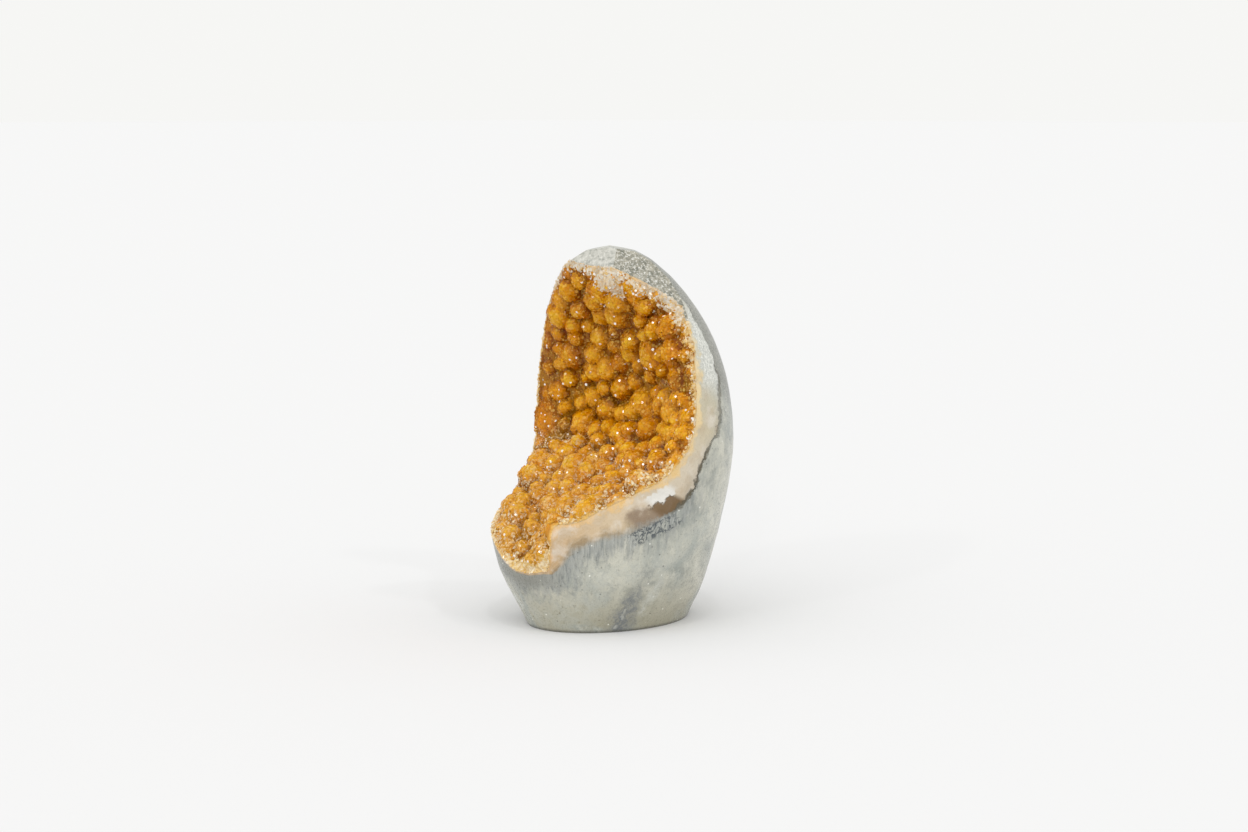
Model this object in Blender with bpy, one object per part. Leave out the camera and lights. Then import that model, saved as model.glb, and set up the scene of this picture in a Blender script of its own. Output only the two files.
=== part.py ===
"""Cut-base amethyst geode, heat-coloured orange: a polished egg of grey rock, opened at the front
on a hollow that is lined all over with a druse of quartz crystals.

Metres, +Z up, -Y to the front of the hollow, origin at the middle of the flat base.
The measures in the tables are millimetres.
"""

import math
import random

import bmesh
import bpy
from mathutils import Matrix, Vector, noise
from mathutils.geometry import area_tri, delaunay_2d_cdt

MM = 0.001

# The egg: height and half width of each level section, from below the ground base to the crown.
SECTIONS = (
    (-23.7, 0.0),
    (-17.8, 15.0),
    (-7.9, 27.2),
    (0.0, 32.6),
    (4.0, 34.3),
    (10.3, 37.6),
    (16.6, 40.4),
    (23.3, 42.8),
    (29.6, 44.4),
    (35.9, 45.8),
    (42.3, 46.5),
    (48.6, 47.2),
    (55.3, 47.8),
    (61.6, 48.3),
    (67.9, 48.6),
    (74.3, 48.8),
    (83.7, 48.3),
    (93.6, 46.9),
    (99.9, 45.5),
    (106.3, 43.5),
    (112.6, 41.1),
    (119.3, 37.8),
    (125.6, 33.9),
    (131.9, 29.3),
    (138.2, 23.8),
    (144.6, 16.4),
    (147.9, 11.4),
    (150.9, 6.0),
    (152.5, 0.0),
)
# Height, then a section's width and depth over its mean: the foot is long from front to back.
PROPORTIONS = (
    (0.0, 0.86, 1.14),
    (12.0, 0.90, 1.10),
    (30.0, 0.97, 1.03),
    (50.0, 1.02, 0.98),
    (75.0, 1.04, 0.955),
    (160.0, 1.04, 0.955),
)
# How far the foot stands forward of the crown, by height.
FORWARD = (
    (0.0, 2.4),
    (10.0, 2.6),
    (22.0, 3.8),
    (33.0, 4.2),
    (42.0, 3.6),
    (55.0, 1.6),
    (68.0, 0.3),
    (160.0, 0.0),
)
# Faces ground flat on the egg: a point of the plane and its outward direction.
GROUND_FACES = (
    ((0.0, 0.0, 149.2), (0.10, 0.05, 1.0)),
    ((0.0, -6.5, 148.6), (0.10, -0.72, 0.69)),
    ((7.0, -4.0, 148.6), (0.66, -0.36, 0.66)),
    ((0.0, 0.0, 0.0), (0.0, 0.0, -1.0)),
)
EGG_RINGS = 34
EGG_SEGMENTS = 52

# The hollow's floor is given as a height over a plane that leans back from the front by TILT.
# Each station up that plane: the height on the middle line, then the left and right rims'
# distances from the middle and heights.
TILT = math.radians(20)
STATIONS = (
    (-10.0, 66.0, 30.0, 58.0, 35.0, 60.0),
    (6.4, 54.0, 24.0, 59.0, 35.0, 54.0),
    (15.0, 49.0, 24.0, 52.6, 35.0, 53.0),
    (20.0, 45.5, 29.5, 49.2, 34.0, 52.5),
    (28.0, 40.0, 38.0, 40.0, 30.0, 52.0),
    (33.0, 36.0, 42.3, 33.4, 29.0, 52.5),
    (38.0, 31.5, 44.9, 28.1, 33.7, 51.0),
    (45.0, 26.0, 47.3, 22.0, 39.5, 46.0),
    (52.0, 21.0, 48.3, 18.4, 45.3, 39.5),
    (60.0, 17.0, 49.0, 16.2, 48.0, 36.0),
    (67.0, 13.5, 49.5, 16.2, 49.5, 34.0),
    (77.0, 12.0, 49.7, 19.0, 49.7, 34.2),
    (92.0, 16.0, 48.0, 25.2, 47.6, 37.1),
    (104.0, 24.5, 44.6, 30.6, 44.4, 38.0),
    (112.0, 32.0, 41.4, 34.9, 41.0, 38.5),
    (119.0, 40.0, 36.2, 40.5, 36.8, 40.2),
    (125.0, 48.5, 31.0, 45.0, 31.5, 40.5),
    (129.0, 56.0, 25.0, 50.0, 22.0, 50.0),
    (132.0, 63.0, 18.0, 55.0, 15.0, 58.0),
    (137.0, 75.0, 12.0, 66.0, 12.0, 72.0),
    (146.0, 97.0, 12.0, 85.0, 12.0, 95.0),
)
# The shoulder that stands to the right of the low notch in the lip: its height by station.
SHOULDER = ((-10.0, 14.0), (22.0, 14.0), (30.0, 6.0), (38.0, 1.0), (42.0, 0.0), (150.0, 0.0))
SHOULDER_FROM = 9.0
SHOULDER_WIDE = 5.5

# The middle of the footprint's box, which becomes the origin.
MIDDLE = (0.28, -1.80)

HALF_PLANE = 62.0
PLANE_LOW = -45.0
PLANE_HIGH = 165.0
COLUMNS = 26
ROWS = 44

# The druse.
GAP = 0.4
LEAST_CRUST = 1.3
SWELL = 4.0
SWELL_LONG = 15.0
BULB_APART = 6.4
BULB_HIGH = 4.6
BULB_SEED = 11


def steps_between(table, at):
    """The table's columns at this value of its first one, eased from row to row."""
    if at <= table[0][0]:
        return table[0][1:]
    for low, high in zip(table, table[1:]):
        if at <= high[0]:
            share = (at - low[0]) / (high[0] - low[0])
            return tuple(a + (b - a) * share for a, b in zip(low[1:], high[1:]))
    return table[-1][1:]


def smoothed(table, at, over):
    """The same, averaged over a short way to either side."""
    weights = ((-1.0, 1.0), (-0.5, 2.0), (0.0, 3.0), (0.5, 2.0), (1.0, 1.0))
    total = sum(weight for _, weight in weights)
    rows = [(steps_between(table, at + step * over), weight) for step, weight in weights]
    return tuple(
        sum(row[i] * weight for row, weight in rows) / total for i in range(len(table[0]) - 1)
    )


def eased(value):
    value = min(max(value, 0.0), 1.0)
    return value * value * (3.0 - 2.0 * value)


def floor_height(x, t):
    """Height of the hollow's floor over the leaning plane: a parabola through each station's three."""
    middle, left, left_high, right, right_high = smoothed(STATIONS, t, 4.5)
    to_left = (left_high - middle) / left
    to_right = (right_high - middle) / right
    bend = (to_left + to_right) / (left + right)
    lean = to_right - bend * right
    inner = min(max(x, -left * 1.1), right * 1.1)
    height = middle + (lean + bend * inner) * inner + (lean + 2.0 * bend * inner) * (x - inner)
    return height + smoothed(SHOULDER, t, 3.0)[0] * eased((x - SHOULDER_FROM) / SHOULDER_WIDE)


def placed(x, t, height):
    """The point over the leaning plane, in metres."""
    sine, cosine = math.sin(TILT), math.cos(TILT)
    return Vector((x, t * sine - height * cosine, t * cosine + height * sine)) * MM


def egg_radius(z):
    return smoothed(SECTIONS, z, 1.5)[0] if z < 144.0 else steps_between(SECTIONS, z)[0]


def in_egg(point, margin):
    """True where the point is inside the egg grown by a margin in millimetres."""
    x, y, z = point / MM
    if z < -margin or z > 152.0 + margin:
        return False
    forward = steps_between(FORWARD, z)[0]
    across, deep = smoothed(PROPORTIONS, z, 6.0)
    radius = egg_radius(min(z, 150.0)) + margin
    return math.hypot(x / across, (y + forward) / deep) < radius


def new_object(name, mesh_of, collection):
    mesh = bpy.data.meshes.new(name)
    mesh_of.normal_update()
    mesh_of.to_mesh(mesh)
    mesh_of.free()
    made = bpy.data.objects.new(name, mesh)
    collection.objects.link(made)
    return made


def egg():
    """The whole stone before it was opened, with its ground faces."""
    bm = bmesh.new()
    bmesh.ops.create_uvsphere(bm, u_segments=EGG_SEGMENTS, v_segments=EGG_RINGS, radius=1.0)
    low, high = SECTIONS[0][0], SECTIONS[-1][0]
    for vertex in bm.verts:
        z = low + (high - low) * (vertex.co.z + 1.0) / 2.0
        around = math.hypot(vertex.co.x, vertex.co.y)
        if around < 1e-6:
            vertex.co = Vector((0.0, -steps_between(FORWARD, z)[0], z)) * MM
            continue
        radius = egg_radius(z)
        across, deep = smoothed(PROPORTIONS, z, 6.0)
        x = vertex.co.x / around * radius * across
        y = vertex.co.y / around * radius * deep - steps_between(FORWARD, z)[0]
        vertex.co = Vector((x, y, z)) * MM
    for point, direction in GROUND_FACES:
        cut = bmesh.ops.bisect_plane(
            bm,
            geom=bm.verts[:] + bm.edges[:] + bm.faces[:],
            dist=1e-7,
            plane_co=Vector(point) * MM,
            plane_no=Vector(direction),
            clear_outer=True,
        )
        edges = [item for item in cut["geom_cut"] if isinstance(item, bmesh.types.BMEdge)]
        bmesh.ops.edgeloop_fill(bm, edges=edges)
    bmesh.ops.recalc_face_normals(bm, faces=bm.faces)
    return bm


def front_space(raise_by):
    """All that lies in front of the hollow's floor, raised by this much."""
    bm = bmesh.new()
    bmesh.ops.create_grid(bm, x_segments=COLUMNS, y_segments=ROWS, size=1.0)
    bmesh.ops.triangulate(bm, faces=bm.faces, quad_method="FIXED")
    for vertex in bm.verts:
        x = vertex.co.x * HALF_PLANE
        t = PLANE_LOW + (PLANE_HIGH - PLANE_LOW) * (vertex.co.y + 1.0) / 2.0
        vertex.co = Vector((x, t, floor_height(x, t) + raise_by))
    thickened(bm, 130.0)
    return bm


def thickened(bm, to_height):
    """Closes a floor into a solid that flares to a level height, and lays it over the leaning plane."""
    grown = bmesh.ops.extrude_face_region(bm, geom=bm.faces[:])
    for item in grown["geom"]:
        if isinstance(item, bmesh.types.BMVert):
            flare = 1.25 + 0.0008 * item.co.y + 0.0013 * item.co.x
            item.co = Vector((item.co.x * flare, item.co.y * flare, to_height))
    for vertex in bm.verts:
        vertex.co = placed(vertex.co.x, vertex.co.y, vertex.co.z)
    bmesh.ops.recalc_face_normals(bm, faces=bm.faces)
    if bm.calc_volume(signed=True) < 0.0:
        bmesh.ops.reverse_faces(bm, faces=bm.faces)


def bulbs():
    """Middle of each botryoid on the leaning plane and how far it spreads."""
    chance = random.Random(BULB_SEED)
    found = []
    for _ in range(9000):
        x = chance.uniform(-HALF_PLANE + 8.0, HALF_PLANE - 8.0)
        t = chance.uniform(-8.0, 150.0)
        apart = BULB_APART * chance.uniform(0.86, 1.22)
        at = placed(x, t, floor_height(x, t))
        if not in_egg(at, 4.0):
            continue
        if all((at - other).length > (apart + far) / 2.0 * MM for _, _, other, far in found):
            found.append((x, t, at, apart))
    return [(x, t, apart) for x, t, _, apart in found]


def triangles_between(places):
    """The triangles that join these flat places, without the slivers along a straight edge."""
    flat, _, faces, owners, _, _ = delaunay_2d_cdt(
        [Vector(place) for place in places], [], [], 0, 1e-6
    )
    return [
        [owners[corner][0] for corner in face]
        for face in faces
        if area_tri(*(flat[corner] for corner in face)) > 0.01
    ]


def rim_share(x, t):
    """0 at the rim, rising to 1 where the druse has its full thickness."""
    at = placed(x, t, floor_height(x, t))
    depth = 0.0
    for step in range(1, 9):
        if not in_egg(at, -step):
            break
        depth = step
    return eased(depth / 8.0)


def swell(x, t, share):
    """The druse's slow rise and fall, under its botryoids."""
    at = Vector((x / SWELL_LONG, t / SWELL_LONG, 3.7))
    return SWELL * (0.5 + 0.6 * noise.noise(at)) * share


def druse_front():
    """Points of the druse's surface: each botryoid is a six-sided dome over the valleys around it."""
    chance = random.Random(BULB_SEED + 1)
    middles = bulbs()
    points = []
    for x, t, apart in middles:
        share = rim_share(x, t)
        base = floor_height(x, t) + LEAST_CRUST + swell(x, t, share)
        high = BULB_HIGH * apart / BULB_APART * chance.uniform(0.8, 1.2) * (0.25 + 0.75 * share)
        slope_x = floor_height(x + 0.5, t) - floor_height(x - 0.5, t)
        slope_t = floor_height(x, t + 0.5) - floor_height(x, t - 0.5)
        points.append((x, t, base + high))
        turn = chance.uniform(0.0, math.tau)
        for side in range(6):
            angle = turn + math.tau * side / 6.0
            away = apart * 0.34 * chance.uniform(0.92, 1.08)
            dx = away * math.cos(angle) / math.hypot(1.0, slope_x)
            dt = away * math.sin(angle) / math.hypot(1.0, slope_t)
            over = base + slope_x * dx + slope_t * dt
            points.append((x + dx, t + dt, over + high * 0.74))
    spots = []
    for corner in triangles_between([(x, t) for x, t, _ in middles]):
        ends = [Vector(middles[i][:2]) for i in corner]
        spots.append((sum(ends, Vector((0.0, 0.0))) / 3.0, 0.0))
        spots += [((a + b) / 2.0, 0.12) for a, b in zip(ends, ends[1:] + ends[:1])]
    taken = [Vector((x, t)) for x, t, _ in points]
    for spot, saddle in spots:
        if all((spot - other).length > 0.85 for other in taken):
            taken.append(spot)
            share = rim_share(*spot)
            rise = swell(*spot, share) * 0.75 + BULB_HIGH * saddle * share
            points.append((spot.x, spot.y, floor_height(*spot) + LEAST_CRUST + rise))
    for column in range(COLUMNS // 2 + 1):
        for row in range(ROWS // 2 + 1):
            x = -HALF_PLANE + 2.0 * HALF_PLANE * column / (COLUMNS // 2)
            t = PLANE_LOW + (PLANE_HIGH - PLANE_LOW) * row / (ROWS // 2)
            height = floor_height(x, t) + LEAST_CRUST
            if not in_egg(placed(x, t, height), 7.0):
                points.append((x, t, height))
    return points


def druse_space():
    """All that lies behind the druse's surface."""
    points = druse_front()
    bm = bmesh.new()
    corners = [bm.verts.new((x, t, height)) for x, t, height in points]
    for face in triangles_between([(x, t) for x, t, _ in points]):
        bm.faces.new([corners[i] for i in face])
    loose = [vertex for vertex in bm.verts if not vertex.link_faces]
    bmesh.ops.delete(bm, geom=loose, context="VERTS")
    thickened(bm, -60.0)
    return bm


def boolean(target, cutter, operation):
    """Both shapes are closed; the exact solver takes these wide cutters as inside out on some runs."""
    modifier = target.modifiers.new(cutter.name, "BOOLEAN")
    modifier.operation = operation
    modifier.solver = "MANIFOLD"
    modifier.object = cutter


def material(name, colour, roughness, transmission=0.0):
    made = bpy.data.materials.new(name)
    made.use_nodes = True
    shader = made.node_tree.nodes["Principled BSDF"]
    shader.inputs["Base Color"].default_value = (*colour, 1.0)
    shader.inputs["Roughness"].default_value = roughness
    shader.inputs["IOR"].default_value = 1.544
    shader.inputs["Transmission Weight"].default_value = transmission
    made.diffuse_color = (*colour, 1.0)
    return made


def main():
    for old in list(bpy.data.objects):
        bpy.data.objects.remove(old)
    scene = bpy.context.scene
    parts = bpy.data.collections.new("amethyst_geode")
    cutters = bpy.data.collections.new("cutters")
    scene.collection.children.link(parts)
    scene.collection.children.link(cutters)

    floor = new_object("floor_cutter", front_space(0.0), cutters)
    front = new_object("front_of_floor", front_space(GAP), cutters)
    shape = new_object("egg_shape", egg(), cutters)
    for helper in (floor, front, shape):
        helper.hide_render = True
        helper.display_type = "WIRE"

    stone = new_object("geode_stone", egg(), parts)
    boolean(stone, floor, "DIFFERENCE")
    stone.data.materials.append(material("polished_basalt", (0.47, 0.47, 0.42), 0.35))

    crust = new_object("crystal_crust", druse_space(), parts)
    boolean(crust, shape, "INTERSECT")
    boolean(crust, front, "INTERSECT")
    crust.data.materials.append(material("orange_quartz", (0.72, 0.36, 0.06), 0.2, 0.2))

    to_middle = Matrix.Translation(Vector((-MIDDLE[0], -MIDDLE[1], 0.0)) * MM)
    for made in (floor, front, shape, stone, crust):
        made.data.transform(to_middle)


main()
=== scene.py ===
"""Cut-base amethyst geode, heat-coloured orange: its polished rock, agate rim and fine druse.

The tables repeat the solids' own measures, in millimetres. The hollow is described over a plane
that leans back from the front: x across, t up the plane, and a height over it.
"""

import math
import random
from functools import cache

import bmesh
import bpy
import numpy as np
from bpy.props import FloatProperty, FloatVectorProperty, IntProperty, PointerProperty
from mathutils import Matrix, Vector, noise
from mathutils.bvhtree import BVHTree
from mathutils.kdtree import KDTree


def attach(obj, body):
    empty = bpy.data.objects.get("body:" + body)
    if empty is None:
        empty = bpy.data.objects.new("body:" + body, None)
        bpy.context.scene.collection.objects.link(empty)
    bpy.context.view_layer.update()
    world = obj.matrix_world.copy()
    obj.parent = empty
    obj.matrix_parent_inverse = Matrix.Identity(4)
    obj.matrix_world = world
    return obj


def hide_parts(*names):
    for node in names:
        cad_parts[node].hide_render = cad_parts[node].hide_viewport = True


bl_info = {
    "name": "Orange Quartz Geode",
    "version": (1, 0, 0),
    "blender": (4, 5, 0),
    "location": "View3D > Sidebar > Geode",
    "description": "Builds a polished cut-base geode lined with orange quartz",
    "category": "Add Mesh",
}

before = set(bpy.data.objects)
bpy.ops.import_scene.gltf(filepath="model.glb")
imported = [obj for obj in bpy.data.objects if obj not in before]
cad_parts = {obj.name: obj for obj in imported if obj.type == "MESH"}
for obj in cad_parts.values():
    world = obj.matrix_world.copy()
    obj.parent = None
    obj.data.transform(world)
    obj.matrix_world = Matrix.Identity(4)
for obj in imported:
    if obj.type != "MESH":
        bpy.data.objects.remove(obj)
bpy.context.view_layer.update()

MM = 0.001

# fmt: off
# The egg: height and half width of each level section.
SECTIONS = np.array((
    (-23.7, 0), (-17.8, 15), (-7.9, 27.2), (0, 32.6), (4, 34.3), (10.3, 37.6), (16.6, 40.4),
    (23.3, 42.8), (29.6, 44.4), (35.9, 45.8), (42.3, 46.5), (48.6, 47.2), (55.3, 47.8),
    (61.6, 48.3), (67.9, 48.6), (74.3, 48.8), (83.7, 48.3), (93.6, 46.9), (99.9, 45.5),
    (106.3, 43.5), (112.6, 41.1), (119.3, 37.8), (125.6, 33.9), (131.9, 29.3), (138.2, 23.8),
    (144.6, 16.4), (147.9, 11.4), (150.9, 6), (152.5, 0),
))
# The sections are blended below one height and kept in use up to the next; the egg's top.
SMOOTH_BELOW, WIDEST_TOP, EGG_TOP = 144, 150, 152
# Height, then a section's width and depth over its mean.
PROPORTIONS = np.array((
    (0, 0.86, 1.14), (12, 0.90, 1.10), (30, 0.97, 1.03), (50, 1.02, 0.98), (75, 1.04, 0.955),
    (160, 1.04, 0.955),
))
# How far the foot stands forward of the crown, by height.
FORWARD = np.array((
    (0, 2.4), (10, 2.7), (22, 4.5), (33, 4.6), (42, 3.6), (55, 1.6), (68, 0.3), (160, 0),
))
# Faces ground flat on the egg: a point of the plane and its outward direction.
GROUND_FACES = (
    ((0, 0, 150), (0.126, 0.114, 1)), ((0, -6.5, 147.4), (0.10, -0.72, 0.69)),
    ((7, -4, 148.2), (0.66, -0.36, 0.66)), ((0, 0, 0), (0, 0, -1)),
    ((-0.75, -0.67, 150.1), (-0.126, -0.114, 1)), ((6.7, 6, 148.5), (0.372, 0.335, 1)),
)
# Two of them by their numbers, and the cosine above which a face counts as theirs.
WHITE_FACE, SPECKLED_FACE, SAME_WAY = 1, 2, 0.9995

# Each station up the leaning plane: the middle line's height, then the left and right rims'
# distances from it and heights.
TILT = math.radians(20)
STATIONS = np.array((
    (-10, 66, 30, 58, 35, 60), (6.4, 54, 24, 59, 35, 54), (15, 49, 24, 52.6, 35, 53),
    (20, 45.5, 29.5, 49.2, 34, 52.5), (28, 40, 38, 38.8, 30, 52),
    (33, 36, 42.3, 31.6, 29, 52.5), (38, 31.5, 44.9, 26.4, 33.7, 51),
    (45, 26, 47.3, 21.2, 39.5, 46), (52, 21, 48.3, 18.4, 45.3, 39.5),
    (60, 17, 49, 16.2, 48, 36), (67, 13.5, 49.5, 16.2, 49.5, 34),
    (77, 12, 49.7, 19, 49.7, 34.2), (92, 16, 48, 25.6, 47.6, 37.1),
    (104, 24.5, 44.6, 31.8, 44.4, 38), (112, 32, 41.4, 37, 41, 38.5),
    (119, 40, 36.2, 43.2, 36.8, 40.2), (125, 48.5, 31, 47.6, 31.5, 40.5),
    (129, 56, 25, 52, 22, 50), (132, 63, 18, 55, 15, 58), (137, 75, 12, 66, 12, 72),
    (146, 97, 12, 85, 12, 95),
))
# How much higher the floor is right of the front notch, by place up the plane.
SHOULDER = np.array(((-10, 14), (22, 14), (30, 6), (38, 1), (42, 0), (150, 0)))
# How far the notch's side leans for each millimetre below its top.
SIDE_LEAN, NOTCH_TOP = 0.1, 20
# The shoulder's share of that height across x: a round notch, a steep side, then the lip.
SHOULDER_SIDE = np.array((
    (-8, 0), (-1, 0.05), (4.5, 0.12), (9.4, 0.17), (10.9, 0.36), (12.1, 0.85), (13.2, 1.32),
    (16, 1.42), (20, 1.29), (25, 1.1), (32, 1), (60, 1),
))
MIDDLE = np.array((0.28, -1.80, 0))
HALF_PLANE, PLANE_LOW, PLANE_HIGH = 62, -45, 165
# How far the tables are averaged to either side.
SECTION_BLEND, PROPORTION_BLEND, STATION_BLEND = 1.5, 6.0, 4.5
SHOULDER_BLEND, SIDE_BLEND, AGATE_BLEND = 3.0, 0.7, 2.0
# Rings and segments of the egg, finely and as a skin to measure from; the floor's grid.
FINE_EGG, SKIN_EGG, FLOOR_GRID = (150, 240), (90, 140), (96, 150)
# Places round the rim, and how often the search for each one is halved, from how far.
RIM_PLACES, HALVINGS, FARTHEST = 3600, 34, 95.0
SHARP_EDGE = math.radians(16)

# The druse's slow swell and its botryoids.
LEAST_CRUST, SWELL, SWELL_LONG = 1.3, 4.0, 15.0
BULB_APART, BULB_SEED, BULB_TRIES = 6.4, 11, 9000
# Three sizes of botryoid, and how often each comes.
BULB_GRADES, GRADE_SHARES = (0.8, 1.0, 1.3), (0.28, 0.40, 0.32)
FARTHEST_BULB, DOME_ROUNDNESS, GOLDEN = 8.0, 0.72, 0.618034
KNOB_SIZE, FINE_KNOB_SIZE = 1.9, 0.8
BED_COLUMNS, BED_ROWS = 170, 290
# How far the bed ends short of the floor, and where the sheets' far sides lie.
BED_GAP, BED_BEHIND, FLOOR_BEYOND = 0.03, -60.0, 130.0
SCATTER_SEED, POINT_SEED = 5, 7
# The buried share of a quartz point, and how much wider its foot is.
BURIED, FLARED = 0.35, 1.5
# Crystals whose random tone is above this mirror the light.
MIRROR = 0.986
# Deep recesses of the druse, where the domes stand lower and the quartz is darkened as painted
# shade, and its whitish patches: middle x and t, reach and strength.
DEEP_PLACES = (
    (-10.7, 85.8, 7, 0.8), (34.5, 91.6, 6.5, 0.9), (-41, 75, 7, 0.3), (-33, 72.5, 7, 0.8),
    (-23, 74, 6, 0.7), (-4, 108, 6.5, 0.7), (16, 83, 6, 0.6), (-25, 99, 7, 0.6),
    (-6, 101, 6, 0.8), (8, 99, 5, 0.7), (0.5, 17, 8, 0.6), (3, 24, 6, 0.5),
)
WHITE_PLACES = (
    (5.5, 127.5, 8, 1.6), (9, 124, 5, 1.2), (-6, 8.8, 2.8, 2.2), (-3.6, 8.3, 2.8, 2.2),
    (-1.2, 7.8, 2.8, 2.2), (1.2, 7.6, 2.8, 2.2), (3.6, 7.9, 2.8, 2.2), (6.4, 8.8, 2.6, 2.2),
    (8.6, 10.6, 2.4, 2.2), (9.8, 13, 2.2, 2.2), (10.4, 15.6, 2.2, 2.2), (10.7, 18, 2.4, 2.2),
    (-29.5, 66, 1.6, 0.7), (-27.5, 67.6, 1.6, 0.7), (-25.2, 67.6, 1.6, 0.7),
    (-23.3, 66.4, 1.6, 0.7), (40.5, 52.5, 5, 0.8), (44, 57, 4, 0.7), (35, 48, 4, 0.6),
)

# The stage: lights by azimuth and elevation, and the sparks' strength and width in degrees.
FLOOR_RADIUS, ROOM_COLOUR, ROOM_STRENGTH = 9, "F3F3F1", 1.03
KEY_PLACE, KEY_WIDE, SPARK_WIDE = (20, 50), 60, 3.5
SPARKS = {
    "right": (78, 38, 0.14), "left": (5, 30, 0.12), "high": (50, 65, 0.14),
    "low": (35, 20, 0.12), "side": (100, 55, 0.12),
}
# The camera: the frame and the hub's place in it in pixels, and a pixel's millimetres there.
PICTURE, HUB_PIXEL, PIXEL = (1248, 832), (609.5, 433.5), 0.402
EYE_PLACE, LENS, FILM = (42, 7), 85, 36

# Width of the agate on the outside by direction around the hollow: degrees from the right, up.
HUB = 75
AGATE_WIDTH = np.array((
    (0, 13.4), (4, 14.6), (26, 14.6), (34, 12), (42, 8), (50, 4.5), (60, 2.4), (74, 2.2),
    (90, 2.6), (130, 3.2), (180, 2.6), (220, 1.6), (250, 1), (270, 0.9), (279.4, 1.1),
    (280.4, 5), (281.4, 10.5), (284, 11), (290, 10), (298, 8.9), (309, 11.7), (319, 12.3),
    (330, 13.3), (338, 13), (342, 11.4), (347, 9), (354, 9.4), (360, 13.4),
))

# Width of the druse's whitish edge by the same direction, and the size of its waves.
PALE_WAVES = 2.2
PALE_WIDTH = np.array((
    (0, 2.2), (20, 4), (60, 8), (90, 6), (130, 1.2), (180, 0.9), (215, 1.8), (235, 3.6),
    (268, 3.8), (272, 1.5), (290, 2.4), (320, 2.8), (360, 2.2),
))

# Veins in the rock near its foot: two ends, how wide, how strong, and the colour.
VEINS = (
    ((38, -19, 25), (30.5, -21, 13), 6, 0.6, "8A8C86"),
    ((31.5, -21, 14), (25, -21, 3), 6.5, 0.75, "7C7F7E"),
    ((27, -21, 5), (23, -21, -3), 8.5, 0.7, "74787A"),
    ((37.6, -12.6, 20), (31, -15.5, 5), 3.6, 0.65, "C4C5BC"),
    ((27.6, -20.8, 9), (21.4, -21.5, 1), 1.6, 0.6, "D4D4CC"),
    ((-37, -31, 34), (-27, -24, 0), 12, 0.75, "72766F"),
    ((-20, -42, 27), (-2, -45, 19), 5, 0.7, "7C7F7A"),
    ((-26, -38, 24), (-12, -40, 8), 3.5, 0.75, "D0D2CC"),
)
# fmt: on


def column(table, index, at):
    return np.interp(at, table[:, 0], table[:, index])


def smoothed(table, index, at, over):
    """The table's column, averaged over a short way to either side."""
    weights = ((-1, 1), (-0.5, 2), (0, 3), (0.5, 2), (1, 1))
    return sum(weight * column(table, index, at + step * over) for step, weight in weights) / 9


def eased(value):
    value = np.clip(value, 0, 1)
    return value * value * (3 - 2 * value)


def floor_height(x, t):
    """Height of the hollow's floor over the leaning plane."""
    middle, left, left_high, right, right_high = (
        smoothed(STATIONS, index, t, STATION_BLEND) for index in range(1, 6)
    )
    to_left = (left_high - middle) / left
    to_right = (right_high - middle) / right
    bend = (to_left + to_right) / (left + right)
    lean = to_right - bend * right
    inner = np.clip(x, -left * 1.1, right * 1.1)
    height = middle + (lean + bend * inner) * inner + (lean + 2 * bend * inner) * (x - inner)
    side = smoothed(SHOULDER_SIDE, 1, x + SIDE_LEAN * (t - NOTCH_TOP), SIDE_BLEND)
    return height + smoothed(SHOULDER, 1, t, SHOULDER_BLEND) * side


def rim_direction(x, t):
    """Direction around the hollow, in degrees from its right."""
    return np.degrees(np.arctan2(t - HUB, x)) % 360


def rough_floor(x, t):
    """The floor with the broken edge of its upper right rim."""
    turn = rim_direction(x, t)
    near = eased((np.hypot(x / 50, (t - HUB) / 60) - 0.72) / 0.2)
    upper = eased((turn - 12) / 20) * eased((112 - turn) / 18)
    places = [Vector((a / 3.4, b / 3.4, 8.1)) for a, b in zip(x.ravel(), t.ravel())]
    jagged = np.array([noise.noise(p) + 0.6 * noise.noise(p * 2.7) for p in places])
    jagged = jagged.reshape(x.shape)
    broken = jagged * (0.35 + 1.15 * upper)
    lowered = 1.5 * upper * eased((turn - 40) / 15)
    return floor_height(x, t) + near * (broken - lowered)


def placed(x, t, height):
    """Points over the leaning plane, in millimetres, before the footprint is centred."""
    sine, cosine = math.sin(TILT), math.cos(TILT)
    return np.stack((x, t * sine - height * cosine, t * cosine + height * sine), axis=-1)


def egg_radius(z):
    smooth = smoothed(SECTIONS, 1, z, SECTION_BLEND)
    return np.where(z < SMOOTH_BELOW, smooth, column(SECTIONS, 1, z))


def depth_in_egg(points):
    """How far these points lie inside the egg's side, in millimetres."""
    x, y, z = np.moveaxis(points, -1, 0)
    across, deep = (smoothed(PROPORTIONS, index, z, PROPORTION_BLEND) for index in (1, 2))
    away = np.hypot(x / across, (y + column(FORWARD, 1, z)) / deep)
    return egg_radius(np.minimum(z, WIDEST_TOP)) - away


def in_egg(points, margin):
    z = points[..., 2]
    return (z > -margin) & (z < EGG_TOP + margin) & (depth_in_egg(points) > -margin)


def up_the_plane(points):
    """These points' places up the leaning plane."""
    return points[:, 1] * math.sin(TILT) + points[:, 2] * math.cos(TILT)


def noise_at(points, size):
    """Noise at these points, its features this many millimetres across."""
    return np.array([noise.noise(Vector(point) / size) for point in points])


def tree_of(places):
    tree = KDTree(len(places))
    for i, place in enumerate(places):
        tree.insert(place, i)
    tree.balance()
    return tree


def coordinates(items, what="co"):
    """The places of these vertices, or these faces' normals."""
    values = np.empty(len(items) * 3)
    items.foreach_get(what, values)
    return values.reshape(-1, 3)


def set_attribute(mesh, name, values, domain="POINT"):
    """Keeps one number, or three, for each point or face."""
    values = np.asarray(values, float)
    kind = "FLOAT_VECTOR" if values.ndim == 2 else "FLOAT"
    layer = mesh.attributes.new(name, kind, domain)
    layer.data.foreach_set("vector" if values.ndim == 2 else "value", values.ravel())


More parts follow.
